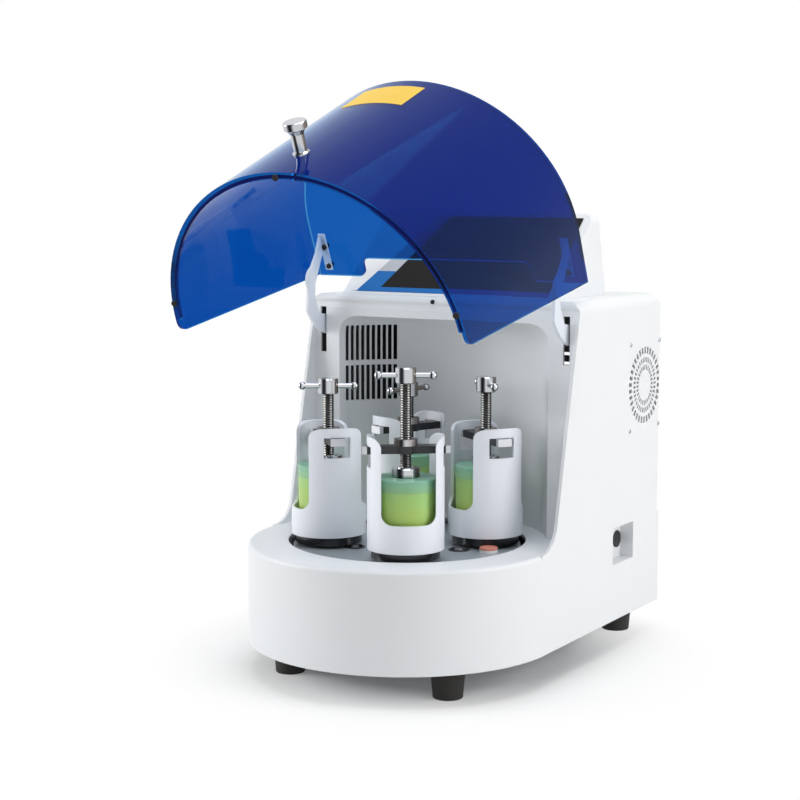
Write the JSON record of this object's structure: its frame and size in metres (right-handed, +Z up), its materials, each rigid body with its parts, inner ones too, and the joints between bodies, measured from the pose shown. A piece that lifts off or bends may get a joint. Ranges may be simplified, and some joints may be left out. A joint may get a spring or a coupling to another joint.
{
  "type": "planetary ball mill",
  "caption": "Bench planetary ball mill with a raised blue clear hood, a turntable of clamped grinding jars in white holders and a slanted control console.",
  "frame": {"origin": "centre of the bounding box at the height of the bench, under the feet", "axes": "+Z up, the front with the chamber mouth faces -Y, +X to the right seen from the front"},
  "size_m": [0.474, 0.7598, 0.8783],
  "materials": {
    "white_moulding": "satin",
    "steel_plate": "satin",
    "feet_rubber": "matte",
    "black_plastic": "matte",
    "panel_film": "gloss",
    "blue_acrylic": "gloss",
    "chrome": "gloss",
    "bearing_steel": "satin",
    "gear_steel": "satin",
    "dark_steel": "satin",
    "cast_aluminium": "satin",
    "motor_paint": "satin",
    "holder_enamel": "satin",
    "jar_nylon": "satin",
    "lid_nylon": "satin"
  },
  "bodies": {
    "base": {"housing": "white_moulding", "chassis": "steel_plate", "feet": "feet_rubber", "rear_cover": "white_moulding", "mains_inlet": "black_plastic", "control_console": "white_moulding", "control_overlay": "panel_film", "switch_frame": "black_plastic", "fan_frame": "black_plastic", "hinge_pins": "bearing_steel", "motor": "motor_paint", "drive_belt": "feet_rubber", "main_bearings": "bearing_steel", "sun_gear": "gear_steel"},
    "rocker": {"power_rocker": "black_plastic"},
    "fan": {"fan_rotor": "black_plastic"},
    "hood": {"hood_sheet": "blue_acrylic", "hood_top_plate": "blue_acrylic", "hood_arms": "steel_plate", "hood_bumpers": "feet_rubber", "hood_knob": "chrome"},
    "motor_rotor": {"motor_pulley": "cast_aluminium"},
    "sun_disc": {"turntable": "cast_aluminium", "turntable_plugs": "feet_rubber", "planet_bearings": "bearing_steel", "idler_pins": "bearing_steel", "main_shaft": "bearing_steel", "driven_pulley": "cast_aluminium"},
    "idler_1": {"idler_gear_1": "gear_steel"},
    "planet_1": {"planet_shaft_1": "dark_steel", "jar_holder_1": "holder_enamel", "crossbar_1": "dark_steel", "jar_1": "jar_nylon", "jar_lid_1": "lid_nylon"},
    "pad_1": {"pressure_pad_1": "chrome"},
    "screw_1": {"clamp_screw_1": "chrome"},
    "idler_2": {"idler_gear_2": "gear_steel"},
    "planet_2": {"planet_shaft_2": "dark_steel", "jar_holder_2": "holder_enamel", "crossbar_2": "dark_steel", "jar_2": "jar_nylon", "jar_lid_2": "lid_nylon"},
    "pad_2": {"pressure_pad_2": "chrome"},
    "screw_2": {"clamp_screw_2": "chrome"},
    "idler_3": {"idler_gear_3": "gear_steel"},
    "planet_3": {"planet_shaft_3": "dark_steel", "jar_holder_3": "holder_enamel", "crossbar_3": "dark_steel", "jar_3": "jar_nylon", "jar_lid_3": "lid_nylon"},
    "pad_3": {"pressure_pad_3": "chrome"},
    "screw_3": {"clamp_screw_3": "chrome"},
    "idler_4": {"idler_gear_4": "gear_steel"},
    "planet_4": {"planet_shaft_4": "dark_steel", "jar_holder_4": "holder_enamel", "crossbar_4": "dark_steel", "jar_4": "jar_nylon", "jar_lid_4": "lid_nylon"},
    "pad_4": {"pressure_pad_4": "chrome"},
    "screw_4": {"clamp_screw_4": "chrome"}
  },
  "joints": [
    {"name": "hood_tilt", "type": "hinge", "parent": "base", "child": "hood", "pos_m": [0, 0.08095, 0.541], "axis": [1, 0, 0], "range_deg": [0, 66.5]},
    {"name": "rocker_tilt", "type": "hinge", "parent": "base", "child": "rocker", "pos_m": [0.213, 0.25795, 0.168], "axis": [0, 0, 1], "range_deg": [0, 16]},
    {"name": "fan_spin", "type": "hinge", "parent": "base", "child": "fan", "pos_m": [0.217, 0.31095, 0.41], "axis": [1, 0, 0], "continuous": true},
    {"name": "disc_spin", "type": "hinge", "parent": "base", "child": "sun_disc", "pos_m": [0, -0.03505, 0.19], "axis": [0, 0, 1], "continuous": true},
    {"name": "motor_spin", "type": "hinge", "parent": "base", "child": "motor_rotor", "pos_m": [0, 0.26995, 0.083], "axis": [0, 0, 1], "continuous": true},
    {"name": "idler_1_spin", "type": "hinge", "parent": "sun_disc", "child": "idler_1", "pos_m": [0.03841, -0.10294, 0.144], "axis": [0, 0, 1], "continuous": true},
    {"name": "planet_1_spin", "type": "hinge", "parent": "sun_disc", "child": "planet_1", "pos_m": [0.05811, -0.13776, 0.2], "axis": [0, 0, 1], "continuous": true},
    {"name": "pad_1_lift", "type": "slide", "parent": "planet_1", "child": "pad_1", "axis": [0, 0, 1], "range_m": [0, 0.01]},
    {"name": "screw_1_turn", "type": "hinge", "parent": "pad_1", "child": "screw_1", "pos_m": [0.05811, -0.13776, 0.32], "axis": [0, 0, 1], "range_deg": [0, 1440]},
    {"name": "idler_2_spin", "type": "hinge", "parent": "sun_disc", "child": "idler_2", "pos_m": [0.06789, 0.00336, 0.144], "axis": [0, 0, 1], "continuous": true},
    {"name": "planet_2_spin", "type": "hinge", "parent": "sun_disc", "child": "planet_2", "pos_m": [0.1027, 0.02305, 0.2], "axis": [0, 0, 1], "continuous": true},
    {"name": "pad_2_lift", "type": "slide", "parent": "planet_2", "child": "pad_2", "axis": [0, 0, 1], "range_m": [0, 0.01]},
    {"name": "screw_2_turn", "type": "hinge", "parent": "pad_2", "child": "screw_2", "pos_m": [0.1027, 0.02305, 0.32], "axis": [0, 0, 1], "range_deg": [0, 1440]},
    {"name": "idler_3_spin", "type": "hinge", "parent": "sun_disc", "child": "idler_3", "pos_m": [-0.03841, 0.03283, 0.144], "axis": [0, 0, 1], "continuous": true},
    {"name": "planet_3_spin", "type": "hinge", "parent": "sun_disc", "child": "planet_3", "pos_m": [-0.05811, 0.06765, 0.2], "axis": [0, 0, 1], "continuous": true},
    {"name": "pad_3_lift", "type": "slide", "parent": "planet_3", "child": "pad_3", "axis": [0, 0, 1], "range_m": [0, 0.01]},
    {"name": "screw_3_turn", "type": "hinge", "parent": "pad_3", "child": "screw_3", "pos_m": [-0.05811, 0.06765, 0.32], "axis": [0, 0, 1], "range_deg": [0, 1440]},
    {"name": "idler_4_spin", "type": "hinge", "parent": "sun_disc", "child": "idler_4", "pos_m": [-0.06789, -0.07346, 0.144], "axis": [0, 0, 1], "continuous": true},
    {"name": "planet_4_spin", "type": "hinge", "parent": "sun_disc", "child": "planet_4", "pos_m": [-0.1027, -0.09316, 0.2], "axis": [0, 0, 1], "continuous": true},
    {"name": "pad_4_lift", "type": "slide", "parent": "planet_4", "child": "pad_4", "axis": [0, 0, 1], "range_m": [0, 0.01]},
    {"name": "screw_4_turn", "type": "hinge", "parent": "pad_4", "child": "screw_4", "pos_m": [-0.1027, -0.09316, 0.32], "axis": [0, 0, 1], "range_deg": [0, 1440]}
  ],
  "couplings": [
    {"joint": "motor_spin", "follows": "disc_spin", "ratio": 2.5},
    {"joint": "idler_1_spin", "follows": "disc_spin", "ratio": 2.7143},
    {"joint": "planet_1_spin", "follows": "disc_spin", "ratio": -3},
    {"joint": "screw_1_turn", "follows": "pad_1_lift", "rad_per_m": 2513.3},
    {"joint": "idler_2_spin", "follows": "disc_spin", "ratio": 2.7143},
    {"joint": "planet_2_spin", "follows": "disc_spin", "ratio": -3},
    {"joint": "screw_2_turn", "follows": "pad_2_lift", "rad_per_m": 2513.3},
    {"joint": "idler_3_spin", "follows": "disc_spin", "ratio": 2.7143},
    {"joint": "planet_3_spin", "follows": "disc_spin", "ratio": -3},
    {"joint": "screw_3_turn", "follows": "pad_3_lift", "rad_per_m": 2513.3},
    {"joint": "idler_4_spin", "follows": "disc_spin", "ratio": 2.7143},
    {"joint": "planet_4_spin", "follows": "disc_spin", "ratio": -3},
    {"joint": "screw_4_turn", "follows": "pad_4_lift", "rad_per_m": 2513.3}
  ]
}
